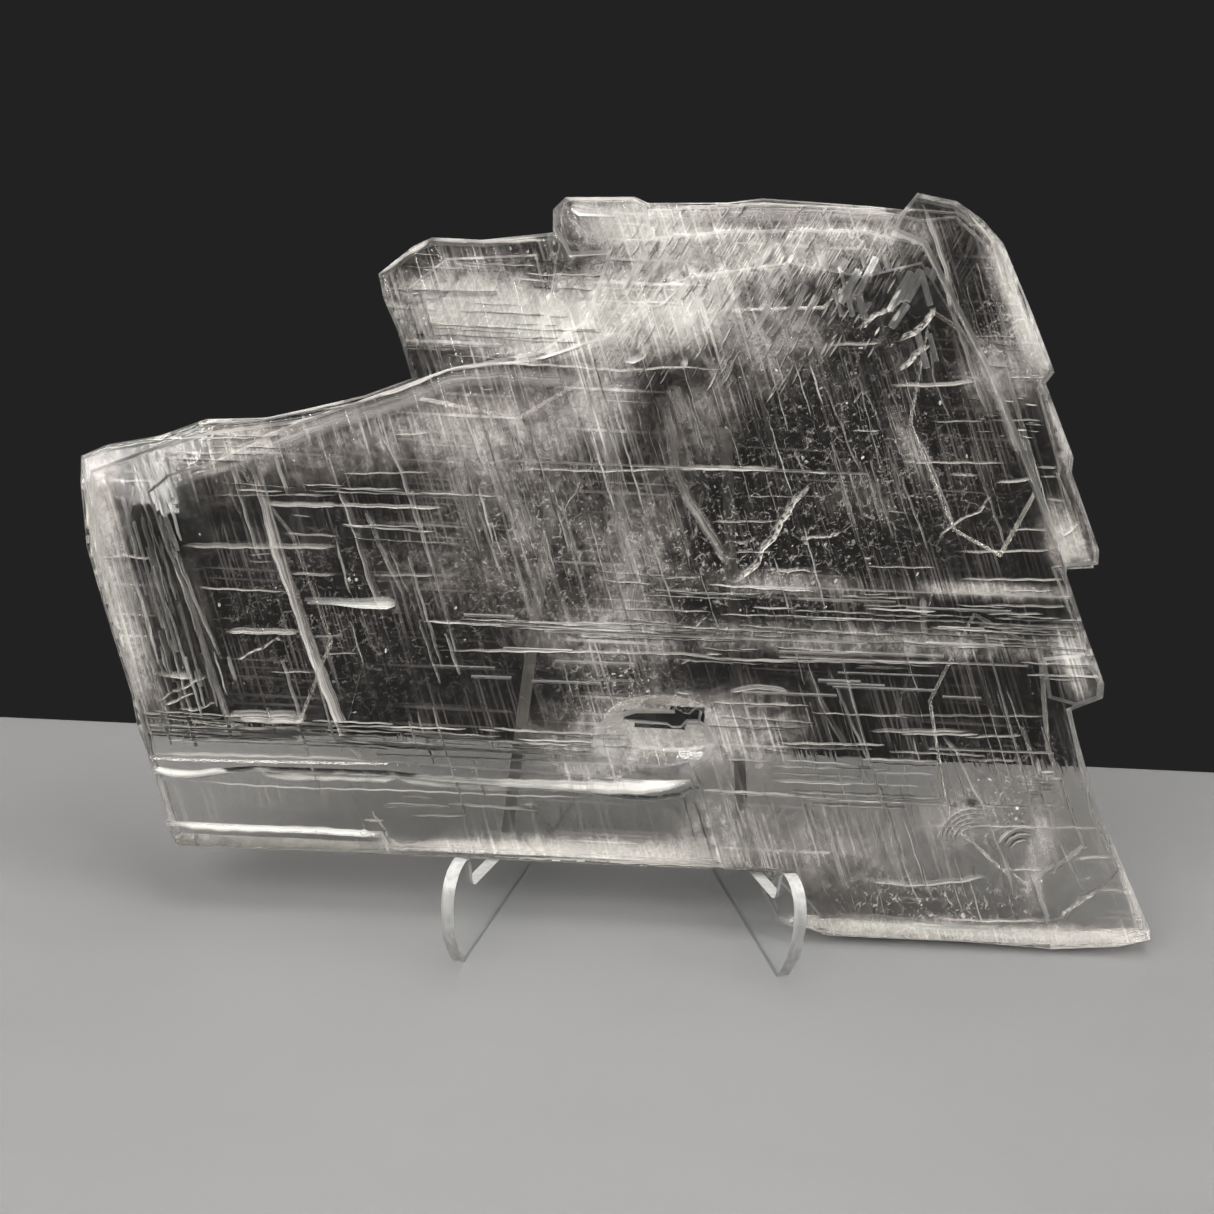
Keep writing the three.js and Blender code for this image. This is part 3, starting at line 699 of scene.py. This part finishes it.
# Crumbly cracks across the grain, as above
SLANTING_CRACKS = [
    ([(41.5, 95.5), (36.5, 89), (34, 83.5), (30, 78), (29, 74.5), (23.5, 70.5)], 1.8, 0.85),
    ([(86, 95), (82, 90), (76.5, 87.5), (72.5, 82)], 0.6, 0.8),
    ([(-9.5, 102.5), (-12, 96.5), (-16.5, 88), (-19.5, 79.5)], 0.4, 0.7),
    ([(-30, 86.5), (-35.5, 83.5)], 0.5, 0.6),
    ([(-35.5, 83.5), (-33, 74.5)], 0.4, 0.5),
    ([(69.5, 139.5), (68, 135.5), (61.5, 130.5)], 1.6, 0.85),
    ([(69, 130.5), (64.5, 126.5), (61.5, 123)], 1.4, 0.8),
    ([(62, 140.5), (56, 137), (51, 133)], 1.4, 0.7),
    ([(18.5, 62.5), (14.5, 58.5)], 0.7, 0.8),
    ([(24, 60.5), (22, 57.5)], 0.6, 0.7),
    ([(-83.5, 51.5), (-86, 52), (-89, 49.5), (-93, 47.5), (-95.5, 46.5)], 0.7, 0.8),
    ([(-101.5, 42.5), (-107.5, 39.5), (-114.5, 35.5)], 1.0, 0.85),
    ([(-104, 38.5), (-113, 34.5)], 0.9, 0.8),
    ([(-109, 34), (-105, 34), (-99, 36)], 0.8, 0.75),
    ([(-103, 33), (-97, 31.5)], 0.6, 0.75),
    ([(-103, 33), (-107, 27), (-108.5, 23.5)], 0.5, 0.7),
    ([(-61, 12), (-56.5, 5), (-53, 3)], 0.6, 0.6),
    ([(39, 82), (44.5, 82.5), (50, 84)], 0.9, 0.8),
    ([(31, 74), (40, 74.5), (45.5, 74.5)], 1.0, 0.65),
    ([(23, 80.5), (26.5, 80.5), (30, 82)], 0.9, 0.75),
    ([(107, -7), (108, -4.5), (111, -3), (114, -1.5), (115.5, 0.5)], 0.8, 0.85),
    ([(74.5, 98.5), (78, 99.5), (82.5, 99)], 0.9, 0.6),
    ([(0, 27), (3.5, 26.5)], 0.6, 0.7),
    ([(-5, 21.5), (1, 23.5)], 0.6, 0.8),
]

# Pale bands along the rim and the steps, as above
RIMS = [
    ([(-135, 95), (-135, 84.5), (-132.5, 70), (-127, 51), (-119.5, 32), (-115.5, 22)], 3.0, 0.7),
    ([(-130.5, 94.5), (-130, 84.5), (-127, 70), (-121.5, 51), (-116, 37)], 9.0, 0.3),
    ([(-114.5, 21.5), (-112, 13), (-109.5, 2.5)], 2.5, 0.6),
    (
        [(-135, 95), (-129, 99), (-116, 100), (-112, 103.5),
         (-91.5, 105.5), (-75, 110), (-57.5, 116)],
        1.6, 0.7,
    ),
    (
        [(-112.5, 90.5), (-94, 99.5), (-75, 108), (-57.5, 113.5), (-46.5, 119),
         (-34, 121), (-20, 121), (-5.5, 120.5), (9, 122), (24.5, 121.5)],
        0.9, 0.95,
    ),
    (
        [(-111.5, 88), (-93, 97), (-74.5, 105), (-56.5, 111.5),
         (-46, 116.5), (-33.5, 118), (-10, 118)],
        5.0, 0.3,
    ),
    ([(-65.5, 142), (-59.5, 147), (-53, 151)], 1.6, 0.95),
    ([(-53, 151), (-36, 151.5), (-24.5, 152.5)], 1.4, 0.7),
    ([(-64.5, 140.5), (-61, 128.5), (-57, 117.5)], 1.2, 0.6),
    ([(-22, 162), (-2.5, 162.5), (1, 161.5)], 2.4, 0.7),
    ([(-14.5, 159), (12, 160.5), (43.5, 162.5), (64, 162)], 6.0, 0.4),
    ([(2.5, 161.5), (21.5, 163), (43, 163.5), (63.5, 164)], 1.6, 0.7),
    ([(64.5, 165.5), (71, 165.5), (75, 163.5)], 1.6, 0.8),
    ([(81, 159), (86.5, 152), (91, 143), (96.5, 128.5), (98, 124)], 4.0, 0.7),
    ([(75, 163.5), (81, 157), (85.5, 152), (90, 143), (98, 126)], 1.2, 0.8),
    ([(97, 119), (101.5, 109.5), (105, 103), (106.5, 95.5), (111, 84.5)], 1.8, 0.7),
    ([(105.5, 78.5), (109, 66.5), (112.5, 57), (114.5, 50)], 1.4, 0.7),
    ([(108.5, 46), (110.5, 39), (115.5, 26), (119.5, 11.5), (127, -7.5)], 2.6, 0.6),
    ([(-108.5, 0.5), (-87, 0), (-53, 0.5), (-14.5, 1.5), (33.5, 2)], 1.2, 0.95),
    ([(-53, 3), (-14.5, 3.5), (33.5, 4)], 4.5, 0.55),
    ([(45.5, -12.5), (68, -13.5), (87.5, -14), (106.5, -13), (128.5, -10.5)], 4.5, 0.75),
    ([(51.5, -14.5), (87.5, -15), (107, -14), (128.5, -11.5)], 1.0, 0.9),
]

# Painted highlights: white sheets along the rounded steps above the bottom bar, where the steps catch the
# light, as above
PAINTED_STEP_HIGHLIGHTS = [
    ([(-114.5, 19), (-105.5, 18), (-95, 19.5)], 2.6, 1.0),
    ([(-90.5, 20.5), (-83, 19), (-68.5, 19.5), (-54, 19.5)], 3.0, 1.0),
    ([(-57.5, 21.5), (-54, 19.5), (-34.5, 19), (-15.5, 19.5), (4, 20), (16.5, 22)], 3.4, 1.0),
    (
        [(-113.5, 16.5), (-103, 16.5), (-89.5, 16), (-75.5, 16),
         (-54, 16.5), (-25, 16.5), (-5.5, 17)],
        0.5, 0.9,
    ),
    ([(-110, 6), (-98, 5.5), (-75, 6), (-57.5, 5.5)], 1.8, 0.7),
    ([(-74, 6), (-73, 5.5)], 1.6, 1.0),
    ([(-63.5, 6.5), (-61.5, 5.5)], 1.6, 1.0),
    ([(2, 30), (8, 29.5), (14.5, 29.5), (20, 31)], 1.3, 1.0),
]

# Clouds: across, up, half width, half height, tilt in degrees and strength
CLOUDS = [
    (-4, 156.5, 20, 7, 0, 0.58),
    (20, 151, 22, 10, 10, 0.38),
    (38, 152, 17, 8, 20, 0.35),
    (58, 156.5, 12, 6, 0, 0.35),
    (-10, 138.5, 19, 11, 20, 0.5),
    (11, 134.5, 17, 8, 25, 0.6),
    (-42.5, 134.5, 22, 12, 0, 0.6),
    (-21.5, 129.5, 14, 8, 10, 0.48),
    (-10, 113, 10, 12, -15, 0.45),
    (-38.5, 105.5, 23, 11, 10, 0.34),
    (14.5, 110.5, 9, 17, -15, 0.22),
    (32, 129, 13, 10, 30, 0.35),
    (1.5, 76, 10, 19, -12, 0.28),
    (-6, 56, 22, 8, 0, 0.3),
    (8, 34, 23, 9, 0, 0.52),
    (-9.5, 26, 14, 6, 0, 0.45),
    (32, 35, 13, 10, 0, 0.3),
    (23.5, 10.5, 10, 10, -20, 0.35),
    (65, 106, 10, 3.4, -62, 0.3),
    (55, 93, 10, 6, -35, 0.16),
    (35.5, 71, 18, 3, 0, 0.35),
    (88.5, 71.5, 20, 2, 0, 0.5),
    (60, 58, 53, 4, 0, 0.4),
    (104, 84, 10, 4.5, -62, 0.55),
    (107, 54.5, 9, 3.6, -66, 0.5),
    (87, 124.5, 9, 10, -60, 0.4),
    (90.5, 141, 21, 4.5, -64, 0.75),
    (106, 101, 18, 2.6, -68, 0.6),
    (111, 64, 15, 2.6, -72, 0.6),
    (119, 18, 27, 2.8, -71, 0.55),
    (81.5, 16.5, 9, 6, 0, 0.35),
    (101, 10.5, 4, 14, -10, 0.35),
    (-131, 80, 7, 19, 5, 0.55),
    (-123, 51, 7, 22, 19, 0.5),
    (83, -11, 48, 3, 0, 0.7),
    (-10, 4, 44, 3.2, 2, 0.6),
    (52, 8, 26, 12, 0, 0.25),
    (-101, 98, 19, 5, 12, 0.4),
    (-32.5, 74.5, 29, 14, 10, 0.18),
    (-74, 98, 34, 8, 18, 0.22),
    (-30, 96, 18, 14, 0, 0.2),
]

# Where many small hairlines lie: left, bottom, right, top, how they run and how many there are
LEVEL_RUN = {"turn": LEVEL, "shortest": 8.0, "longest": 40.0}
STEEP_RUN = {"turn": STEEP, "shortest": 8.0, "longest": 30.0}
CROSS_RUN = {"turn": CROSS, "shortest": 2.0, "longest": 7.0}
COMB_RUN = {"turn": LEVEL, "shortest": 2.0, "longest": 6.0}
HAIRLINE_REGIONS = [
    (-92, 87, -42, 91, LEVEL_RUN, 8),
    (-85, 76, -42, 81, LEVEL_RUN, 5),
    (-114, 27, -66, 33, LEVEL_RUN, 36),
    (-67, 26, -6, 33, LEVEL_RUN, 26),
    (-46, 57, 20, 59, LEVEL_RUN, 12),
    (-11, 51, 110, 72, LEVEL_RUN, 50),
    (54, 58, 108, 67, LEVEL_RUN, 18),
    (-62, 122, -14, 148, LEVEL_RUN, 30),
    (28, 18, 78, 42, LEVEL_RUN, 22),
    (-118, 94, -94, 102, LEVEL_RUN, 10),
    (-62, 8, -10, 16, LEVEL_RUN, 6),
    (80, 104, 96, 131, COMB_RUN, 30),
    (98, 20, 104, 29, COMB_RUN, 14),
    (-130, 42, -110, 92, STEEP_RUN, 46),
    (-120, 30, -100, 48, STEEP_RUN, 24),
    (-42, 74, -16, 114, STEEP_RUN, 30),
    (-10, 58, 14, 120, STEEP_RUN, 26),
    (24, 68, 70, 120, STEEP_RUN, 34),
    (16, 0, 38, 18, STEEP_RUN, 18),
    (44, -8, 100, 46, STEEP_RUN, 34),
    (74, 124, 92, 154, STEEP_RUN, 8),
    (-60, 118, -50, 144, STEEP_RUN, 16),
    (-110, 20, 100, 120, STEEP_RUN, 60),
    (-12, 136, 62, 163, CROSS_RUN, 120),
    (30, 116, 64, 140, CROSS_RUN, 30),
    (-4, 118, 26, 132, CROSS_RUN, 26),
]

# Where the crystal is crushed inside: left, bottom, right, top and how many flakes
CRUSHED_REGIONS = [
    (14, 96, 72, 136, 130),
    (80, 124, 100, 156, 40),
    (4, 56, 36, 92, 60),
    (22, 56, 54, 94, 60),
    (54, -14, 96, 2, 70),
    (-10, 34, 10, 58, 60),
    (-36, 130, 6, 156, 110),
    (-104, 36, -44, 78, 50),
    (76, 10, 108, 32, 80),
    (38, 78, 86, 112, 60),
    (-62, 120, -30, 150, 40),
]

# Rings of a shell-like break: centre, smallest and largest radius, start and end in degrees, and count
SHELL_RINGS = [
    (85, 10, 4.5, 9.0, 75, 175, 5),
    (97, 8.5, 3.5, 6.5, 60, 160, 3),
]


def point_along(points, share):
    """The point at one share of a bent line's length, and the way the line runs there."""
    lengths = [math.dist(first, second) for first, second in zip(points, points[1:])]
    left = share * sum(lengths)
    for (x0, y0), (x1, y1), length in zip(points, points[1:], lengths):
        if left <= length or (x1, y1) == points[-1]:
            part = left / length
            return x0 + (x1 - x0) * part, y0 + (y1 - y0) * part, (x1 - x0) / length, (y1 - y0) / length
        left -= length


def even_ends(share):
    """How wide and white a split is along its length: full, but for its last ninth at both ends."""
    return min(1.0, 9 * share, 9 * (1 - share))


def wedge_ends(share):
    """The same for a wedge, which runs out to nearly nothing."""
    return min(1.0, 0.3 + 7 * share) * (1.0 - 0.92 * share)


def sharp_profile(over):
    """How white a split is across its width: brightest at the edge nearest the front."""
    return 1.0 - 0.75 * over


def soft_profile(over):
    """The same for a veil, a rim or a rounded step, brightest in its middle; on a rounded step this is a
    painted highlight along its crest.
    """
    return math.sin(math.pi * min(max(over, 0.0), 1.0))


def start_splits():
    """An empty mesh whose points carry a whiteness and a place along their own split."""
    bm = bmesh.new()
    bm.verts.layers.float.new("veil")
    bm.verts.layers.float_vector.new("trace")
    return bm


# Spacing of a split's points along its length, and how fast its line wavers
SPLIT_STEP = 2.0
WAVER = 0.9


def add_split(
    bm, points, width, strength, profile=sharp_profile, ends=even_ends, reach=3.0, rows=2, wander=0.12
):
    """A thin sheet along a line on the face, slanting back from near the front into the crystal."""
    veil = bm.verts.layers.float["veil"]
    trace = bm.verts.layers.float_vector["trace"]
    length = sum(math.dist(first, second) for first, second in zip(points, points[1:]))
    steps = max(3, round(length / SPLIT_STEP))
    mark = chance.uniform(0, 90)
    # Its deeper edge is the higher one, so that its face is turned up to the lamps
    slant = 1 if points[-1][0] > points[0][0] else -1
    sheet = bmesh.ops.create_grid(bm, x_segments=steps, y_segments=rows, size=0.5)["verts"]
    outside = []
    for vert in sheet:
        share = min(max(vert.co.x + 0.5, 0.0), 1.0)
        over = min(max(vert.co.y + 0.5, 0.0), 1.0)
        x, y, run_x, run_y = point_along(points, share)
        side = slant * (over - 0.5) * width * (0.25 + 0.75 * ends(share))
        side += wander * math.sin(share * length * WAVER + mark)
        x -= run_y * side
        y += run_x * side
        depths = depths_at(x, y)
        if depths is None or depths[1] - depths[0] < THINNEST_FOR_SPLIT:
            outside.append(vert)
            continue
        depth = depths[0] + SKIN + over * min(reach, depths[1] - depths[0] - 2 * SKIN)
        vert.co = on_face(x, y, depth)
        vert[veil] = strength * profile(over) * ends(share)
        vert[trace] = (share * length, over * width, mark)
    bmesh.ops.delete(bm, geom=outside, context="VERTS")


def named_splits(name, material, groups):
    """One piece from lists of splits, each list with its own way of drawing them."""
    bm = start_splits()
    for splits, manner in groups:
        for points, width, strength in splits:
            add_split(bm, points, width, strength, **manner)
    finish_piece(name, mesh_from(name, bm), material)


def hairline_splits(name, material):
    """Hundreds of short straight splits, each nearly in line with its neighbours."""
    bm = start_splits()
    for left, bottom, right, top, run, count in HAIRLINE_REGIONS:
        for _ in range(count):
            x = chance.uniform(left, right)
            y = chance.uniform(bottom, top)
            turn = run["turn"] + math.radians(chance.gauss(0, 1.2))
            half = 0.5 * chance.uniform(run["shortest"], run["longest"]) * chance.uniform(0.5, 1.0)
            start = (x - half * math.cos(turn), y - half * math.sin(turn))
            end = (x + half * math.cos(turn), y + half * math.sin(turn))
            width = chance.uniform(0.18, 0.5)
            strength = chance.uniform(0.3, 0.9)
            add_split(bm, [start, end], width, strength, reach=chance.uniform(0.5, 6.0), rows=1)
    finish_piece(name, mesh_from(name, bm), material)


RING_WIDTH = 0.5
RING_STEPS = 8


def shell_rings(name, material):
    bm = start_splits()
    for x, y, smallest, largest, first, last, count in SHELL_RINGS:
        for number in range(count):
            radius = smallest + (largest - smallest) * number / (count - 1)
            turns = [math.radians(turn) for turn in numpy.linspace(first, last, RING_STEPS + 1)]
            points = [(x + radius * math.cos(turn), y + radius * math.sin(turn)) for turn in turns]
            add_split(bm, points, RING_WIDTH, chance.uniform(0.6, 0.95), wander=0.0)
    finish_piece(name, mesh_from(name, bm), material)


SMALLEST_FLAKE = 0.18
LARGEST_FLAKE = 0.78
DEEPEST_FLAKE = 7


def crushed_flakes(name, material):
    """Hundreds of small tilted flakes, each a six-sided scrap, and most of them near the smallest."""
    bm = bmesh.new()
    for left, bottom, right, top, count in CRUSHED_REGIONS:
        for _ in range(count):
            x = chance.gauss((left + right) / 2, (right - left) / 4)
            y = chance.gauss((bottom + top) / 2, (top - bottom) / 4)
            depths = depths_at(x, y)
            radius = SMALLEST_FLAKE + (LARGEST_FLAKE - SMALLEST_FLAKE) * chance.random() ** 4
            if depths is None or depths[1] - depths[0] < 2 * (SKIN + radius):
                continue
            deepest = min(depths[1] - SKIN - radius, depths[0] + DEEPEST_FLAKE)
            depth = chance.uniform(depths[0] + SKIN + radius, deepest)
            tilt = Matrix.Rotation(chance.uniform(-1, 1), 4, "X")
            tilt @= Matrix.Rotation(chance.uniform(-1, 1), 4, "Y")
            spin = Matrix.Rotation(chance.uniform(0, math.pi), 4, "Z")
            shape = Matrix.Diagonal((1.0, chance.uniform(0.3, 0.8), 1.0, 1.0))
            place = FACE_TO_FRAME @ Matrix.Translation((x, y, -depth)) @ tilt @ spin @ shape
            bmesh.ops.create_circle(bm, cap_ends=True, segments=6, radius=radius, matrix=place)
    finish_piece(name, mesh_from(name, bm, smooth=False), material)


# Where the sheets carry fine cross hatching, as the clouds are given
HATCHED = [
    (32, 153, 38, 10, 0, 0.55),
    (38, 140, 18, 10, 20, 0.3),
    (2, 134, 22, 11, 25, 0.45),
    (-40, 134, 26, 12, 0, 0.2),
]

# Where they carry a net of crooked cracks, as above
CRUSHED = [
    (44, 118, 30, 22, 20, 0.25),
    (90, 140, 10, 18, -30, 0.6),
    (20, 76, 20, 20, 0, 0.4),
    (42, 74, 18, 22, 0, 0.25),
    (76, -5, 26, 8, 0, 0.7),
    (-4, 46, 14, 14, 0, 0.4),
    (-14, 142, 22, 14, 0, 0.4),
    (-74, 58, 32, 22, 0, 0.22),
    (92, 22, 18, 14, 0, 0.45),
    (64, 96, 26, 18, 0, 0.35),
    (-24, 80, 24, 24, 0, 0.4),
]


# Above 1, a patch is flatter in its middle and ends more sharply than a bell curve
PATCH_EDGE = 1.3


def patch_strength(across, up, patch):
    x, y, half_width, half_height, tilt, strength = patch
    turn = math.radians(tilt)
    along = (across - x) * math.cos(turn) + (up - y) * math.sin(turn)
    over = (up - y) * math.cos(turn) - (across - x) * math.sin(turn)
    return strength * numpy.exp(-((along / half_width) ** 2 + (over / half_height) ** 2) ** PATCH_EDGE)


def all_patches(across, up, patches, base):
    """Overlapping patches thicken each other, and no place is thinner than the base."""
    clear = 1.0
    for patch in patches:
        clear = clear * (1 - patch_strength(across, up, patch))
    return numpy.maximum(1 - clear, base)


# The crystal's reach on its own face: left, bottom, width and height
REACH_LEFT = -137
REACH_BOTTOM = -16
REACH_ACROSS = 268
REACH_UP = 184

# Spacing of a veil's points
VEIL_SPACING = 1.4


def veil_sheet(name, material, share, base):
    """A thin cloudy sheet inside the crystal, at one share of its depth from front to back."""
    columns = int(REACH_ACROSS / VEIL_SPACING)
    rows = int(REACH_UP / VEIL_SPACING)
    bm = bmesh.new()
    bmesh.ops.create_grid(bm, x_segments=columns, y_segments=rows, size=0.5)
    outside = []
    places = {}
    for vert in bm.verts:
        across = REACH_LEFT + (vert.co.x + 0.5) * REACH_ACROSS
        up = REACH_BOTTOM + (vert.co.y + 0.5) * REACH_UP
        depths = depths_at(across, up)
        if depths is None or depths[1] - depths[0] < THINNEST_FOR_VEIL:
            outside.append(vert)
            continue
        depth = depths[0] + SKIN + share * (depths[1] - depths[0] - 2 * SKIN)
        places[vert] = (across, up)
        vert.co = on_face(across, up, depth)
    bmesh.ops.delete(bm, geom=outside, context="VERTS")
    kept = numpy.array([places[vert] for vert in bm.verts])
    mesh = mesh_from(name, bm)
    for layer, patches, least in (("veil", CLOUDS, base), ("crush", CRUSHED, 0.0), ("hatch", HATCHED, 0.0)):
        strength = all_patches(kept[:, 0], kept[:, 1], patches, least)
        mesh.attributes.new(layer, "FLOAT", "POINT").data.foreach_set("value", strength.astype(numpy.float32))
    finish_piece(name, mesh, material)


# Scene

FLOOR_EDGE = 78 * MM
FLOOR_WIDTH = 2400 * MM
FLOOR_DEPTH = 1200 * MM
FLOOR_THICKNESS = 30 * MM
FLOOR_ROUNDING = 3 * MM


def floor():
    """A pale floor whose far edge lies a little way behind the object."""
    bm = bmesh.new()
    bmesh.ops.create_cube(bm, size=1)
    bmesh.ops.scale(bm, verts=bm.verts, vec=(FLOOR_WIDTH, FLOOR_DEPTH, FLOOR_THICKNESS))
    middle = (0, FLOOR_EDGE - FLOOR_DEPTH / 2, -FLOOR_THICKNESS / 2)
    bmesh.ops.translate(bm, verts=bm.verts, vec=middle)
    rounding = {"offset": FLOOR_ROUNDING, "segments": 3, "profile": 0.5}
    bmesh.ops.bevel(bm, geom=bm.edges, affect="EDGES", material=-1, **rounding)
    ob = bpy.data.objects.new("floor", mesh_from("floor", bm, smooth=False))
    bpy.context.scene.collection.objects.link(ob)
    ob.data.materials.append(floor_material())


OBJECT_MIDDLE = Vector((0, 0, 0.09))


def soft_light(name, place, size, power, colour):
    """A rectangular lamp, in metres and watts, turned to the middle of the object."""
    light = bpy.data.lights.new(name, "AREA")
    light.shape = "RECTANGLE"
    light.size, light.size_y = size
    light.energy = power
    light.color = colour
    ob = bpy.data.objects.new(name, light)
    ob.location = place
    ob.rotation_euler = (OBJECT_MIDDLE - Vector(place)).to_track_quat("-Z", "Y").to_euler()
    bpy.context.scene.collection.objects.link(ob)


def lights():
    soft_light("key", (-0.6, -0.75, 0.85), (0.9, 0.7), 21, (1.0, 0.98, 0.955))
    soft_light("top", (0.1, 0.1, 1.1), (1.2, 0.7), 13.5, (1.0, 0.985, 0.965))
    soft_light("side", (0.95, -0.35, 0.45), (0.5, 0.8), 6.5, (0.98, 0.98, 1.0))
    world = bpy.data.worlds.new("studio")
    world.use_nodes = True
    background = world.node_tree.nodes["Background"]
    background.inputs["Color"].default_value = (0.016, 0.016, 0.016, 1)
    background.inputs["Strength"].default_value = 1.0
    bpy.context.scene.world = world


# The camera stands where the photograph's did
LOOK_AT = Vector((-2.6, -26.0, 80.0)) * MM
CAMERA_AWAY = 479.7 * MM
CAMERA_HEIGHT_ANGLE = math.radians(20)
CAMERA_ROLL = math.radians(2.62)
CAMERA_LENS = 60.83
SENSOR = 36.0


def camera():
    data = bpy.data.cameras.new("camera")
    data.lens = CAMERA_LENS
    data.sensor_width = SENSOR
    data.clip_start = 10 * MM
    ob = bpy.data.objects.new("camera", data)
    back = Vector((0, -math.cos(CAMERA_HEIGHT_ANGLE), math.sin(CAMERA_HEIGHT_ANGLE)))
    upright = (-back).to_track_quat("-Z", "Y").to_matrix().to_4x4()
    roll = Matrix.Rotation(CAMERA_ROLL, 4, "Z")
    ob.matrix_world = Matrix.Translation(LOOK_AT + back * CAMERA_AWAY) @ upright @ roll
    bpy.context.scene.collection.objects.link(ob)
    bpy.context.scene.camera = ob


def render_settings():
    """Enough bounces to see through both solids and all the sheets between them."""
    bpy.context.scene.view_settings.view_transform = "Standard"
    cycles = bpy.context.scene.cycles
    cycles.max_bounces = 7
    cycles.transmission_bounces = 6
    cycles.transparent_max_bounces = 24
    cycles.diffuse_bounces = 1
    cycles.glossy_bounces = 4
    cycles.use_adaptive_sampling = True
    cycles.adaptive_threshold = 0.2
    cycles.adaptive_min_samples = 12
    cycles.use_denoising = True
    cycles.caustics_refractive = False
    cycles.caustics_reflective = False
    cycles.sample_clamp_indirect = 3.0


camera()
render_settings()
lights()
floor()

crystal.data.materials.clear()
crystal.data.materials.append(crystal_body_material())
dress_easel()

front_veil = veil_material("front veil", shift=3.0, hairline_strength=0.42, lace_size=0.2)
middle_veil = veil_material("middle veil", shift=40.0, hairline_strength=0.34, lace_size=0.27)
veil_sheet("front_veil", front_veil, share=0.03, base=0.03)
veil_sheet("middle_veil", middle_veil, share=0.5, base=0.02)

hair = thin_split_material()
silky = split_material("silky split", streak_length=22.0, streak_width=0.28, thin=0.45, thick=1.15)
crumbly = split_material("crumbly crack", streak_length=1.1, streak_width=0.5, thin=0.15, thick=1.3)
# White wedges and the painted highlights along the rounded steps share this pale-to-white material
bright = split_material("white wedge and painted step highlight", 30.0, 0.6, thin=0.75, thick=1.4, dull=PALE, bright=WHITE)
named_splits(
    "long_splits",
    silky,
    [
        (STEEP_SPLITS, {"reach": 4.0}),
        (LEVEL_SPLITS, {"reach": 2.0}),
    ],
)
# White wedges, and white sheets painted along the rounded steps as their highlights
named_splits(
    "white_wedges_and_painted_step_highlights",
    bright,
    [
        (WEDGES, {"ends": wedge_ends, "reach": 1.5, "wander": 0.0}),
        (PAINTED_STEP_HIGHLIGHTS, {"reach": 1.2, "profile": soft_profile, "rows": 4}),
    ],
)
named_splits(
    "broad_veils",
    silky,
    [
        (BROAD_VEILS, {"profile": soft_profile, "rows": 4, "reach": 6.0}),
        (RIMS, {"profile": soft_profile, "rows": 4, "reach": 2.0}),
    ],
)
named_splits("slanting_cracks", crumbly, [(SLANTING_CRACKS, {"reach": 2.5, "wander": 0.3})])
hairline_splits("hairline_splits", hair)
shell_rings("shell_rings", hair)
crushed_flakes("crushed_flakes", flake_material())
